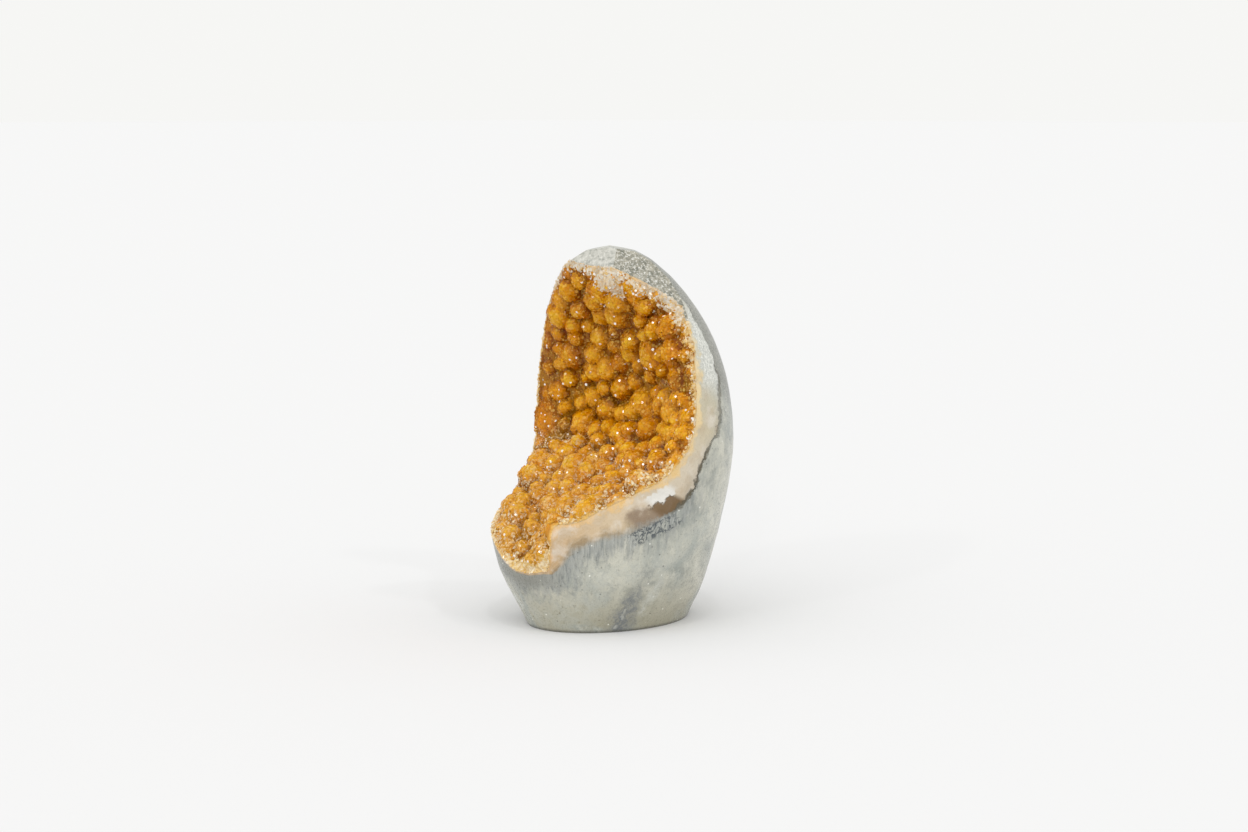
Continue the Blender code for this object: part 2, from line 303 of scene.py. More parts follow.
def linked(name, data):
    """A new object that holds this mesh, lamp or camera."""
    made = bpy.data.objects.new(name, data)
    bpy.context.scene.collection.objects.link(made)
    return made


def new_object(name, bm):
    mesh = bpy.data.meshes.new(name)
    bm.normal_update()
    bm.to_mesh(mesh)
    bm.free()
    return linked(name, mesh)


def combined(target, cutter, operation):
    """Gives the target the mesh that a Boolean with the cutter leaves."""
    modifier = target.modifiers.new("trim", "BOOLEAN")
    modifier.operation = operation
    modifier.solver = "MANIFOLD"
    modifier.object = cutter
    graph = bpy.context.evaluated_depsgraph_get()
    result = bpy.data.meshes.new_from_object(target.evaluated_get(graph))
    target.modifiers.clear()
    target.data = result
    if not result.polygons:
        raise RuntimeError(f"{target.name} was cut away whole")


def egg(rings, segments):
    """The stone before it was opened, with its ground faces, in millimetres."""
    bm = bmesh.new()
    bmesh.ops.create_uvsphere(bm, u_segments=segments, v_segments=rings, radius=1)
    unit = np.array([vertex.co for vertex in bm.verts])
    low, high = SECTIONS[0][0], SECTIONS[-1][0]
    z = low + (high - low) * (unit[:, 2] + 1) / 2
    around = np.maximum(np.hypot(unit[:, 0], unit[:, 1]), 1e-6)
    radius = np.where(around > 1e-5, egg_radius(z), 0)
    x, y = (
        unit[:, i] / around * radius * smoothed(PROPORTIONS, i + 1, z, PROPORTION_BLEND)
        for i in (0, 1)
    )
    for vertex, place in zip(bm.verts, np.stack((x, y - column(FORWARD, 1, z), z), axis=1)):
        vertex.co = place
    for point, direction in GROUND_FACES:
        plane = {"plane_co": point, "plane_no": direction, "clear_outer": True}
        geometry = bm.verts[:] + bm.edges[:] + bm.faces[:]
        cut = bmesh.ops.bisect_plane(bm, geom=geometry, dist=1e-4, **plane)
        edges = [item for item in cut["geom_cut"] if isinstance(item, bmesh.types.BMEdge)]
        bmesh.ops.edgeloop_fill(bm, edges=edges)
    bmesh.ops.recalc_face_normals(bm, faces=bm.faces)
    return bm


def sheet(columns, rows, surface, to_height):
    """A grid over the leaning plane, shaped by a function of x and t, closed at a level height."""
    bm = bmesh.new()
    bmesh.ops.create_grid(bm, x_segments=columns, y_segments=rows, size=1)
    bmesh.ops.triangulate(bm, faces=bm.faces, quad_method="FIXED")
    flat = np.array([vertex.co for vertex in bm.verts])
    x = flat[:, 0] * HALF_PLANE
    t = PLANE_LOW + (PLANE_HIGH - PLANE_LOW) * (flat[:, 1] + 1) / 2
    grown = bmesh.ops.extrude_face_region(bm, geom=bm.faces[:])
    far = {item for item in grown["geom"] if isinstance(item, bmesh.types.BMVert)}
    # The far side is a little wider, unevenly so, which keeps its sides off the near side's.
    flare = 1.25 + 0.0008 * t + 0.0013 * x
    behind = placed(x * flare, t * flare, np.full_like(x, to_height))
    front = surface(x, t)
    if len(far) != len(x) or len(bm.verts) != 2 * len(x):
        raise RuntimeError("the sheet lost its order when it was extruded")
    order = {(round(a, 5), round(b, 5)): i for i, (a, b) in enumerate(flat[:, :2])}
    for vertex in bm.verts:
        which = order[round(vertex.co.x, 5), round(vertex.co.y, 5)]
        vertex.co = (behind if vertex in far else front)[which]
    bmesh.ops.recalc_face_normals(bm, faces=bm.faces)
    if bm.calc_volume(signed=True) < 0:
        bmesh.ops.reverse_faces(bm, faces=bm.faces)
    return bm


def front_of_floor(raise_by):
    """All that lies in front of the hollow's floor, raised by this much."""
    return sheet(
        *FLOOR_GRID, lambda x, t: placed(x, t, rough_floor(x, t) + raise_by), FLOOR_BEYOND
    )


def centred(mesh):
    """From millimetres about the hollow's own origin to metres about the middle of the base."""
    places = (coordinates(mesh.vertices) - MIDDLE) * MM
    mesh.vertices.foreach_set("co", places.ravel())
    mesh.update()


def rim_line():
    """Points along the rim and each one's direction around the hollow, in degrees."""
    turn = np.linspace(0, math.tau, RIM_PLACES, endpoint=False)

    def at(away):
        x, t = away * np.cos(turn), HUB + away * np.sin(turn)
        return placed(x, t, rough_floor(x, t))

    low, high = np.zeros(RIM_PLACES), np.full(RIM_PLACES, FARTHEST)
    for _ in range(HALVINGS):
        middle = (low + high) / 2
        points = at(middle)
        inside = depth_in_egg(points) > 0
        for point, direction in GROUND_FACES:
            inside &= (points - point) @ np.array(direction) < 0
        low, high = np.where(inside, middle, low), np.where(inside, high, middle)
    return at(low), np.degrees(turn)


def nearest_rim(points):
    """Each point's distance from the rim and that place's direction around the hollow."""
    line, turn = rim_line()
    tree = tree_of(line)
    found = [tree.find(point)[1:] for point in points]
    return np.array([gap for _, gap in found]), turn[[i for i, _ in found]]


# ---------------- materials

QUARTZ_IOR = 1.544
# How far red, green and blue light spread inside the quartz, and a middling crystal's tone.
GLOW_RADIUS = (1.0, 0.9, 0.8)
MIDDLING_TONE = 0.5
# Sectors around the hollow: from and to, as shares of a turn from its right, and how softly.
LOWER_SIDE, THREADED, SHADE_UNDER_LEFT_RIM = (0.55, 0.93, 0.03), (0.855, 0.897, 0.006), (0.61, 0.775, 0.02)
CROWN_SIDE, QUARTZ = (0.06, 0.24, 0.02), (0.055, 0.155, 0.02)
WHITE_LIP, CHIPPED = (0.893, 0.922, 0.005), (0.888, 0.915, 0.003)
DUSKY, SOFT_EDGED = (0.866, 0.891, 0.005), (0.775, 0.885, 0.015)
CRACKED, BOLD_CRACK = ((0.895, 1.2, 0.01), (-0.2, 0.085, 0.02)), (0.895, 0.99, 0.02)
# fmt: off
# The agate's colours round the hollow: at its seat under the crystals, midway and outermost.
AGATE_SEAT = (
    (0, "DCC290"), (0.07, "E2CB9A"), (0.12, "D3C6A6"), (0.20, "CDB98F"), (0.30, "BDB49E"),
    (0.55, "C9C4B6"), (0.76, "A88052"), (0.79, "D9AD6C"), (0.90, "DDB878"), (1, "DCC290"),
)
AGATE_BODY = (
    (0, "C1B599"), (0.05, "B7B19B"), (0.10, "B7B7AB"), (0.20, "ABA798"), (0.50, "BDBAB0"),
    (0.77, "B8996F"), (0.80, "BFA27B"), (0.85, "C9B494"), (0.90, "C6B7A0"), (0.95, "CBBFAA"),
    (1, "C1B599"),
)
AGATE_TAIL = (
    (0, "B4AC96"), (0.08, "AFB0A4"), (0.20, "94907F"), (0.50, "A9A79E"), (0.77, "8A7658"),
    (0.84, "988260"), (0.90, "9C8C70"), (0.95, "C4B9A6"), (1, "B4AC96"),
)
# fmt: on


def colour(code):
    """A hexadecimal display colour as linear light; any other value stays as it is."""
    if not isinstance(code, str):
        return code
    parts = [int(code[i : i + 2], 16) / 255.0 for i in (0, 2, 4)]
    return (*(p / 12.92 if p <= 0.04045 else ((p + 0.055) / 1.055) ** 2.4 for p in parts), 1.0)


class Finish:
    """One procedural material under construction."""

    def __init__(self, name):
        self.material = bpy.data.materials.new(name)
        self.material.use_nodes = True
        self.tree = self.material.node_tree
        self.shader = self.tree.nodes["Principled BSDF"]

    def add(self, kind, inputs=(), **settings):
        node = self.tree.nodes.new("ShaderNode" + kind)
        for key, value in settings.items():
            setattr(node, key, value)
        for key, value in dict(inputs).items():
            self.plug(node.inputs[key], value)
        return node

    def plug(self, socket, value):
        if isinstance(value, bpy.types.NodeSocket):
            self.tree.links.new(value, socket)
        else:
            socket.default_value = value

    def set(self, **values):
        for name, value in values.items():
            self.plug(self.shader.inputs[name.replace("_", " ")], value)

    def place(self):
        """Object coordinates in millimetres."""
        return self.stretched(self.add("TexCoord").outputs["Object"], (0, 0, 0), (1000,) * 3)

    def stretched(self, where, turn, scale=(1, 1, 1)):
        """The place turned by these degrees, then scaled: below 1 draws a pattern out."""
        angles = tuple(math.radians(angle) for angle in turn)
        inputs = {"Vector": where, "Rotation": angles, "Scale": scale}
        return self.add("Mapping", inputs).outputs[0]

    def number(self, name):
        return self.add("Attribute", attribute_name=name).outputs["Fac"]

    def noise(self, where, size, detail=4, roughness=0.55, distortion=0):
        """Noise whose features are about this many millimetres across."""
        inputs = {"Vector": where, "Scale": 1 / size, "Detail": detail, "Roughness": roughness}
        return self.add("TexNoise", inputs | {"Distortion": distortion}).outputs[0]

    def cells(self, where, size):
        """Distance from scattered places about this many millimetres apart."""
        inputs = {"Vector": where, "Scale": 1 / size}
        return self.add("TexVoronoi", inputs).outputs["Distance"]

    def maths(self, operation, a, b=0, clamp=False):
        return self.add("Math", {0: a, 1: b}, operation=operation, use_clamp=clamp).outputs[0]

    def times(self, share, *others):
        """The product of these shares."""
        for other in others:
            share = self.maths("MULTIPLY", share, other)
        return share

    def vector(self, operation, a, b=(0, 0, 0), scale=1):
        node = self.add("VectorMath", {0: a, 1: b, 3: scale}, operation=operation)
        return node.outputs[1 if operation in {"LENGTH", "DOT_PRODUCT"} else 0]

    def away_from_line(self, where, start, end):
        """Distance in millimetres from a straight line between two places."""
        ray = Vector(end) - Vector(start)
        offset = self.vector("SUBTRACT", where, start)
        share = self.maths("DIVIDE", self.vector("DOT_PRODUCT", offset, ray), ray.length_squared)
        share = self.add("Clamp", {0: share}).outputs[0]
        along = self.add("CombineXYZ", {0: share, 1: share, 2: share}).outputs[0]
        along = self.vector("MULTIPLY", along, ray)
        return self.vector("LENGTH", self.vector("SUBTRACT", offset, along))

    def span(self, value, low, high, to_low=0, to_high=1):
        """Eases from one share to another while the value goes from low to high."""
        inputs = {0: value, 1: low, 2: high, 3: to_low, 4: to_high}
        return self.add("MapRange", inputs, interpolation_type="SMOOTHSTEP").outputs[0]

    def ramp(self, value, *stops):
        node = self.add("ValToRGB", {0: value})
        points = node.color_ramp.elements
        for _ in stops[2:]:
            points.new(0.5)
        for point, (position, _) in zip(points, stops):
            point.position = position
        for point, (position, tone) in zip(points, stops):
            point.color = colour(tone)
        return node.outputs[0]

    def mix(self, share, a, b):
        inputs = {0: share, 6: colour(a), 7: colour(b)}
        return self.add("Mix", inputs, data_type="RGBA").outputs[2]

    def layers(self, base, *laid):
        """The base under these colours, each laid over the last by its share."""
        for share, tone in laid:
            base = self.mix(share, base, tone)
        return base

    def bump(self, height, depth, strength=1, normal=None):
        """A bump of this many millimetres for a height from 0 to 1."""
        inputs = {"Height": height, "Distance": depth * MM, "Strength": strength}
        if normal is not None:
            inputs["Normal"] = normal
        return self.add("Bump", inputs).outputs[0]


def basalt(f, settings, where, height, clouds, blotches, grain):
    """Clouds, blotches, slanting smears, brown and dark patches that grow towards the foot, partly
    the rock's own tint and partly painted shade, and fine grains.
    """
    smears = f.noise(f.stretched(where, (25, 0, 0), (1, 1, 0.35)), 2.2, 5, 0.7, 0.8)
    # Towards the foot the rock's brown mottling deepens and darkens: partly its own tint, partly
    # painted shade.
    brown_towards_foot = f.times(f.span(height, 2, 26, 0.8, 0), f.span(clouds, 0.35, 0.55))
    dark_towards_foot = f.span(f.noise(where, 3, 5, 0.7, 1), 0.56, 0.68)
    return f.layers(
        f.ramp(
            clouds, (0.34, settings.rock_dark), (0.45, settings.rock), (0.56, "BFBEB0"),
            (0.68, settings.rock_pale),
        ),
        (f.span(blotches, 0.50, 0.68, 0, 0.6), "90928A"),
        (f.span(blotches, 0.30, 0.46, 0.5, 0), "D3D1C3"),
        (f.span(smears, 0.54, 0.70, 0, 0.5), "868880"),
        (f.span(smears, 0.28, 0.44, 0.4, 0), "D0D0C4"),
        (brown_towards_foot, "A19C86"),
        (f.times(dark_towards_foot, f.span(height, 6, 40, 0.7, 0.15)), "7F7B69"),
        (f.span(grain, 0.30, 0.46, 0.16, 0), "7D7F75"),
        (f.span(grain, 0.64, 0.80, 0, 0.16), "E2E1D4"),
    )  # fmt: skip


def veined(f, where, rock):
    """The rock with its veins: each fades across its width and is broken into strokes."""
    drift = f.add("TexNoise", {"Vector": where, "Scale": 0.22, "Detail": 5}).outputs[1]
    drift = f.vector("SCALE", f.vector("SUBTRACT", drift, (0.5, 0.5, 0.5)), scale=9)
    warped = f.vector("ADD", where, drift)
    strokes = f.noise(f.stretched(warped, (0, 25, 0), (1, 1, 0.3)), 1.7, 4, 0.65)
    strokes = f.span(strokes, 0.36, 0.60, 0.45, 1.25)
    for start, end, wide, share, code in VEINS:
        away = f.away_from_line(warped, start, end)
        inked = f.maths("MULTIPLY", f.span(away, wide * 0.1, wide, share, 0), strokes, clamp=True)
        rock = f.mix(inked, rock, code)
    return rock


def stone_finish(settings):
    f = Finish("polished_basalt_and_agate")
    where = f.place()
    rim_place = f.add("Attribute", attribute_name="rim_place").outputs["Vector"]
    rim_x, rim_t, gap = f.add("SeparateXYZ", {0: rim_place}).outputs
    band, facet = f.number("agate_band"), f.number("ground_face")
    below = f.maths("SUBTRACT", gap, f.number("agate_width"))
    turn = f.maths("DIVIDE", f.maths("ARCTAN2", rim_t, rim_x), math.tau)
    turn = f.maths("FRACT", f.maths("ADD", turn, 1))

    def between(low, high, soft, value=turn):
        """1 where the value lies between these, easing to 0 outside."""
        rising = f.span(value, low - soft, low + soft)
        return f.times(rising, f.span(value, high - soft, high + soft, 1, 0))

    def until(low, high):
        """1 beside the agate, easing to 0 between these millimetres beyond it."""
        return f.span(below, low, high, 1, 0)

    clouds = f.noise(where, 19, 5, 0.6, 0.8)
    blotches = f.noise(where, 4.2, 4, 0.65, 0.5)
    grain = f.noise(where, 0.8, 3, 0.75)
    height = f.add("SeparateXYZ", {0: where}).outputs[2]
    rock = basalt(f, settings, where, height, clouds, blotches, grain)

    # Blue-grey streaks run down from the agate.
    fall = f.stretched(where, (0, 0, 0), (1, 1, 0.13))
    streaks = f.noise(fall, 0.9, 4, 0.65, 0.5)
    reach = f.noise(fall, 2.6, 3, 0.6)
    near = f.span(f.maths("ADD", below, f.span(reach, 0.25, 0.75, -6, 6)), 1, 14, 1, 0)
    lower = between(*LOWER_SIDE)
    near = f.times(near, f.maths("ADD", f.times(lower, 0.88), 0.12))
    halo = f.times(lower, between(12, 24, 5, below), f.span(blotches, 0.35, 0.6), 0.3)
    rock = f.layers(
        rock,
        (f.times(near, 0.8), "949692"),
        (f.times(near, f.span(streaks, 0.48, 0.64), 0.65), "6C7270"),
        (f.times(near, f.span(streaks, 0.32, 0.44, 1, 0), 0.45), "BEC2BE"),
        (halo, "CDD0C8"),
    )
    rock = veined(f, where, rock)

    # Fine dark threads just under the chipped place.
    threads = f.noise(f.stretched(where, (0, 0, 0), (1, 1, 0.7)), 2.1, 3, 0.5, 1.2)
    threads = f.span(f.maths("ABSOLUTE", f.maths("SUBTRACT", threads, 0.5)), 0.02, 0.075, 1, 0)
    web = f.times(threads, between(*THREADED), between(0.8, 7, 0.8, below))

    dots = f.times(f.span(f.cells(where, 3.4), 0.05, 0.15, 1, 0), f.span(blotches, 0.4, 0.55))
    flecks = f.cells(f.stretched(where, (20, 50, 10)), 5.2)
    speckle = f.noise(where, 0.9, 4, 0.75)
    dusky = f.ramp(speckle, (0.38, "5E6058"), (0.52, "7C7D75"), (0.62, "9C9A8F"), (0.7, "DAD8D0"))
    dusky = f.mix(f.span(f.noise(where, 3.6, 4, 0.6), 0.55, 0.7), dusky, "90918A")
    rock = f.layers(
        rock,
        (f.times(web, 0.95), "474E52"),
        # Painted contact shadow: a dark line along the foot where the stone meets the floor.
        (f.span(height, 0.2, 1.6, 0.7, 0), "55554E"),
        # Painted shade: the rock just under the left rim is darkened to grey.
        (f.times(between(*SHADE_UNDER_LEFT_RIM), until(2, 8), 0.85), f.mix(clouds, "6C6D66", "96958B")),
        (f.times(dots, 0.7), "5C5E57"),
        (f.span(flecks, 0.03, 0.09, 0.9, 0), "F2F2EA"),
        # The crown's side is darker rock full of quartz specks.
        (f.times(between(*CROWN_SIDE), until(14, 24), 0.9), dusky),
    )

    # Agate: it follows the rim, from the yellow seat of the crystals to a wavy outer limit.
    wave = f.noise(where, 5, 5, 0.6)
    wavy = f.maths("ADD", band, f.span(wave, 0.2, 0.8, -0.22, 0.22))
    seat, body, tail = (f.ramp(turn, *stops) for stops in (AGATE_SEAT, AGATE_BODY, AGATE_TAIL))
    rings = f.maths("SINE", f.maths("MULTIPLY", wavy, 26))
    milk = f.noise(where, 7, 4, 0.55, 0.5)
    blush = f.noise(f.stretched(where, (70, 0, 20)), 6, 3, 0.5)
    icy = f.ramp(speckle, (0.36, "A9ABA5"), (0.5, "C9CAC2"), (0.64, "E6E6DF"))
    # The chipped place is brown-green with a white lip, and a dusky patch lies beside it.
    broken = f.maths("ADD", band, f.span(f.noise(where, 2.4, 2, 0.5), 0.3, 0.7, -0.08, 0.08))
    lip = f.times(between(*WHITE_LIP), between(0.22, 0.58, 0.06, broken))
    by_agate = until(3, 6)
    chip = f.times(between(*CHIPPED), f.span(broken, 0.54, 0.62), by_agate)
    agate = f.layers(
        seat,
        (f.span(wavy, 0.02, 0.26), body),
        (f.span(wavy, 0.5, 1), tail),
        (f.span(rings, 0.2, 1, 0, 0.08), "EFE3CE"),
        (f.span(milk, 0.50, 0.72, 0, 0.6), "DAD2C6"),
        (f.span(blush, 0.48, 0.75, 0, 0.5), "B5A184"),
        (f.times(between(*QUARTZ), f.span(wavy, 0.1, 0.3)), icy),
        (f.times(lip, 0.9), f.mix(milk, "C9C7C0", "EEECE6")),
        (f.times(chip, 0.9), f.mix(clouds, "4A3010", "80602E")),
        (f.times(between(*DUSKY), f.span(wavy, 0.36, 0.7), 0.85), "85705A"),
    )

    # Where the agate meets the rock: soft below the lip, a dark crack up the right side.
    edge = f.maths("ADD", band, f.span(f.noise(where, 2.6, 4, 0.65), 0.2, 0.8, -0.08, 0.08))
    soft = f.maths("ADD", f.times(between(*SOFT_EDGED), 0.16), 0.03)
    outside = f.span(f.maths("DIVIDE", f.maths("SUBTRACT", edge, 1), soft), -1, 1)
    outside = f.maths("MAXIMUM", outside, f.span(below, 5, 9))
    width = f.span(f.noise(where, 3.2, 3, 0.6), 0.3, 0.7, 0.06, 0.18)
    off = f.maths("ABSOLUTE", f.maths("SUBTRACT", edge, 1.03))
    crack = f.span(f.maths("DIVIDE", off, width), 0, 1, 1, 0)
    sides = f.maths("MAXIMUM", *(between(*sector) for sector in CRACKED))
    crack = f.times(crack, sides, by_agate)
    faint = f.maths("MAXIMUM", between(*BOLD_CRACK), 0.5)

    # The faces ground on the crown: one through white quartz, one through speckled rock.
    cloudy = f.noise(where, 2.6, 4, 0.65, 0.6)
    white = f.ramp(cloudy, (0.34, "8E9088"), (0.46, "B2B1A8"), (0.6, "CCCBC3"))
    white = f.mix(f.span(speckle, 0.56, 0.68, 0, 0.6), white, "E8E7E0")
    grey = f.layers(
        f.ramp(cloudy, (0.36, "6A6B5E"), (0.5, "8F8C7E"), (0.62, "ABA798")),
        (f.span(speckle, 0.53, 0.62, 0, 0.9), "E0DFD9"),
        (f.span(speckle, 0.34, 0.42, 0.6, 0), "5E5F58"),
    )
    base = f.layers(
        agate,
        (outside, rock),
        (f.times(crack, faint), settings.crack),
        (f.span(facet, 0.5, 0.9), white),
        (f.span(facet, 1.5, 1.9), grey),
    )

    f.set(Base_Color=base, IOR=1.55, Specular_IOR_Level=0.5)
    worn = f.times(f.maths("MAXIMUM", crack, chip), 0.4)
    f.set(Roughness=f.maths("ADD", f.span(grain, 0.2, 0.8, 0.22, 0.38), worn))
    pits = f.bump(f.maths("SUBTRACT", f.span(grain, 0.25, 0.5), dots), 0.06, 0.6)
    sunk = f.maths("SUBTRACT", 1, f.maths("MAXIMUM", crack, f.times(chip, 0.7)))
    f.set(Normal=f.bump(sunk, 0.9, 1, pits))
    return f.material


def crystal_colours(f, settings, tone, where):
    """Deep amber in the recesses and lighter orange over the domes, painted shade and painted
    light that follow each dome's rise; pale at the rim.
    """
    rise, edge, tint = f.number("rise"), f.number("edge"), f.number("tint")
    z = f.add("SeparateXYZ", {0: where}).outputs[2]
    patches = f.noise(where, 9, 3, 0.5)
    lift = f.maths("ADD", rise, f.span(patches, 0.25, 0.75, -0.16, 0.16))
    warm = f.noise(where, 6, 2, 0.5)
    # Painted shade: the recesses of the upper wall go dark red-brown, over that wall's redder
    # quartz.
    ruddy_upper_shade = f.times(f.span(z, 85, 120, 0, 0.5), f.span(rise, 0.2, 0.8, 1, 0.3))
    # Paler gold over the seat, strongest on the domes' tops: partly the seat's own paler quartz,
    # partly painted light.
    seat_gold_and_light = f.times(f.span(z, 30, 75, 0.6, 0), f.span(rise, 0.1, 0.5, 0.35, 1))
    dusk = f.noise(f.stretched(where, (40, 10, 0)), 7, 3, 0.6)
    dusk = f.times(f.span(dusk, 0.55, 0.72), f.span(rise, 0.2, 0.7, 0.4, 0))
    # Random darker crystals, darkened most in the recesses: random tone with painted shade.
    dim = f.times(f.span(tone, 0.02, 0.4, 0.6, 0), f.span(rise, 0.3, 0.8, 1, 0.4))
    # Sugar: pale points between the domes of the seat.
    sugar = f.times(
        f.span(rise, 0.35, 0.80, 1, 0.25),
        f.span(z, 56, 78, 1, 0),
        f.span(f.noise(where, 3, 4, 0.6), 0.35, 0.6, 0.25, 1.2),
    )
    sugar = f.maths("MULTIPLY", sugar, f.span(tone, 0.48, 0.72), clamp=True)
    blush = f.noise(where, 3, 2, 0.5)
    pale = f.mix(f.span(blush, 0.4, 0.6), settings.rim_colour, "F8D89A")
    pale = f.mix(f.span(z, 118, 126, 0, 0.7), pale, "E6E4DF")
    return f.layers(
        # Painted shade and light: by the rise the quartz darkens into the recesses and lightens on
        # the domes' tops.
        f.ramp(
            lift, (0, settings.deep), (0.25, "8E5000"), (0.5, settings.amber), (0.8, "F4A400"),
            (1, settings.bright),
        ),
        (f.span(warm, 0.52, 0.72, 0, 0.5), "E28400"),
        (f.span(tint, 0.6, 0.95, 0, 0.4), "DC8400"),
        (f.span(tint, 0.12, 0.45, 0.35, 0), "FCB82C"),
        (ruddy_upper_shade, "923C00"),
        (seat_gold_and_light, "E8AC3C"),
        (dusk, "8A5A48"),
        (f.span(tone, 0.75, 0.98, 0, 0.5), "FFD468"),
        (dim, "864A00"),
        (sugar, "F4E2BC"),
        (f.span(edge, 0, 0.5), "E9B95C"),
        (f.span(edge, 0.4, 1), pale),
        (mirrored(f, tone), "FFF8EC"),
    )  # fmt: skip


def mirrored(f, tone):
    """1 for the few crystals that mirror the light."""
    return f.span(tone, MIRROR, MIRROR + 0.001)


def bed_finish(settings):
    f = Finish("amber_quartz_bed")
    where = f.place()
    base = crystal_colours(f, settings, MIDDLING_TONE, where)
    grains = f.noise(where, 0.5, 3, 0.7)
    base = f.mix(f.span(grains, 0.3, 0.7, 0.4, 0), base, "A85E12")
    f.set(Base_Color=base, Roughness=f.span(grains, 0.3, 0.7, 0.25, 0.5), IOR=QUARTZ_IOR)
    f.set(Specular_IOR_Level=0.15, Normal=f.bump(grains, 0.25, 0.8))
    f.set(Subsurface_Weight=0.5, Subsurface_Radius=GLOW_RADIUS, Subsurface_Scale=0.0012)
    return f.material


def point_finish(settings):
    f = Finish("amber_quartz_points")
    where = f.place()
    tone = f.number("tone")
    frost = f.noise(where, 0.35, 2, 0.6)
    f.set(Base_Color=crystal_colours(f, settings, tone, where), IOR=QUARTZ_IOR)
    f.set(Roughness=f.span(frost, 0.3, 0.7, 0.03, 0.16), Normal=f.bump(frost, 0.03, 0.4))
    f.set(Transmission_Weight=0.12, Specular_IOR_Level=0.14, Metallic=mirrored(f, tone))
    f.set(Subsurface_Weight=0.2, Subsurface_Radius=GLOW_RADIUS, Subsurface_Scale=0.0008)
    return f.material


# ---------------- pieces


def bulb_table(skin, bulb_height):
    """Each botryoid's place on the leaning plane, its reach and how high it stands."""
    chance = random.Random(BULB_SEED)
    edge = HALF_PLANE - 8
    ranges = ((-edge, edge), (-8, 150), (0.86, 1.22))
    tries = np.array([[chance.uniform(*ends) for ends in ranges] for _ in range(BULB_TRIES)])
    tries[:, 2] *= BULB_APART
    at = placed(tries[:, 0], tries[:, 1], floor_height(tries[:, 0], tries[:, 1]))
    kept = np.empty((0, 4))
    rows = []
    inside = in_egg(at, 4)
    for (x, t, apart), place in zip(tries[inside], at[inside]):
        away = np.linalg.norm(kept[:, :3] - place, axis=1)
        if (away > (apart + kept[:, 3]) / 2).all():
            kept = np.vstack((kept, (*place, apart)))
            rows.append((x, t, apart))
    x, t, apart = np.array(rows).T
    sizes = np.random.default_rng(BULB_SEED + 1)
    grade = sizes.choice(BULB_GRADES, len(x), p=GRADE_SHARES)
    reach = 0.72 * apart * grade * sizes.uniform(0.92, 1.08, len(x))
    high = bulb_height * apart / BULB_APART * grade**0.7 * sizes.uniform(0.7, 1.15, len(x))
    high *= 1 - 0.6 * marked(DEEP_PLACES, x, t)
    high *= 1.25 - 0.25 * eased((t - 45) / 25)
    # Botryoids near the polished skin stand lower, most of all at the left.
    depth = skin_depths(skin, placed(x, t, floor_height(x, t)))
    high *= eased((depth + 0.4) / np.where(x < -15, 13, 10.5))
    return np.stack((x, t, reach, high), axis=1)


def marked(places, x, t):
    """1 in the middle of each of these places on the leaning plane, falling to 0 at its reach."""
    share = np.zeros(np.shape(x))
    for middle_x, middle_t, reach, strength in places:
        away = np.hypot(x - middle_x, t - middle_t) / reach
        share = np.maximum(share, strength * eased(1 - away))
    return np.minimum(share, 1)


def skin_of_egg():
    bm = egg(*SKIN_EGG)
    tree = BVHTree.FromBMesh(bm)
    bm.free()
    return tree


def skin_depths(skin, points):
    """How far inside the stone's polished skin these points lie, in millimetres."""
    depths = np.empty(len(points))
    for i, point in enumerate(points):
        place, normal, _, away = skin.find_nearest(Vector(point))
        depths[i] = away if (Vector(point) - place).dot(normal) < 0 else -away
    return depths


def under_bulbs(skin, x, t):
    """The druse's surface before its botryoids: it thins to a skin at the rim."""
    floor = rough_floor(x, t)
    depth = skin_depths(skin, placed(x, t, floor))
    slow = [noise.noise(Vector((a / SWELL_LONG, b / SWELL_LONG, 3.7))) for a, b in zip(x, t)]
    swell = SWELL * (0.5 + 0.6 * np.array(slow)) * eased(depth / 10)
    thick = LEAST_CRUST * (0.08 + 0.92 * eased(depth / 4.5))
    return placed(x, t, floor + thick + swell), depth


def bulb_relief(points, table, middles):
    """How high the domes stand at each point, the same from 0 to 1, and the dome's own tint."""
    tree = tree_of(middles)
    high, rise, tint = np.zeros((3, len(points)))
    for i, point in enumerate(points):
        point = Vector(point)
        wobble = 1 + 0.22 * noise.noise(point / 3)
        for _, which, away in tree.find_range(point, FARTHEST_BULB):
            reach = away / (table[which, 2] * wobble)
            if reach < 1:
                dome = (1 - reach * reach) ** DOME_ROUNDNESS
                high[i] += (table[which, 3] * dome) ** 4
                # Taller domes reach a higher rise, which paints them lighter.
                level = dome * min(1, 0.55 + 0.12 * table[which, 3])
                if level > rise[i]:
                    rise[i], tint[i] = level, which * GOLDEN % 1
    return high**0.25, rise, tint


